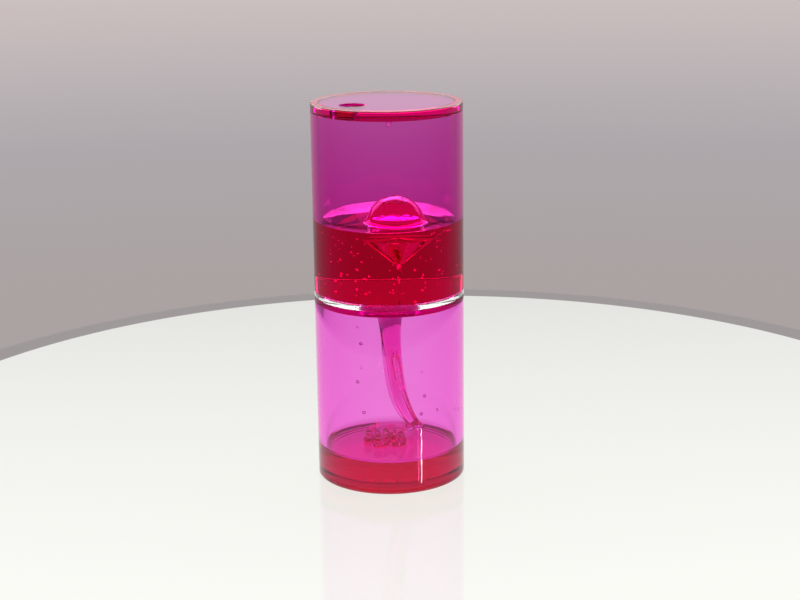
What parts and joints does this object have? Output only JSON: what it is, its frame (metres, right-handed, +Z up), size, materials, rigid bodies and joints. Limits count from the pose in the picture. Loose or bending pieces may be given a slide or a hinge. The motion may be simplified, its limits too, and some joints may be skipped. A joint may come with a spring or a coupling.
{
  "type": "liquid motion timer",
  "caption": "Sealed upright timer of tinted clear acrylic tube: gel drains through a hole in the middle plate, from the upper chamber to a pool in the lower one.",
  "frame": {"origin": "centre of the base's flat face, on the tubes' axis", "axes": "+Z up along the tubes, -Y towards the front, +X to the right"},
  "size_m": [0.06, 0.06, 0.1526],
  "materials": {
    "tinted_acrylic": "polished, clear pink tint",
    "clear_acrylic": "polished, clear",
    "red_gel": "wet, clear red"
  },
  "bodies": {
    "case": {"upper_tube": "tinted_acrylic", "lower_tube": "tinted_acrylic", "top_disc": "tinted_acrylic", "fill_plug": "tinted_acrylic", "base_disc": "tinted_acrylic", "divider_plate": "clear_acrylic", "orifice_disc": "tinted_acrylic", "upper_gel": "red_gel", "neck_gel": "red_gel", "gel_stream": "red_gel", "lower_gel": "red_gel", "wall_drops": "red_gel", "lid_drop": "red_gel"},
    "pool_surface": {"gel_folds": "red_gel"},
    "upper_surface": {"bubble_skin": "red_gel"}
  },
  "joints": [
    {"name": "pool_rise", "type": "slide", "parent": "case", "child": "pool_surface", "axis": [0, 0, 1], "range_m": [-0.006, 0.0225], "deforming": ["lower_gel", "gel_stream"]},
    {"name": "upper_fall", "type": "slide", "parent": "case", "child": "upper_surface", "axis": [0, 0, 1], "range_m": [-0.0225, 0.006], "deforming": ["upper_gel"]}
  ],
  "couplings": [
    {"joint": "upper_fall", "follows": "pool_rise", "ratio": -1}
  ]
}
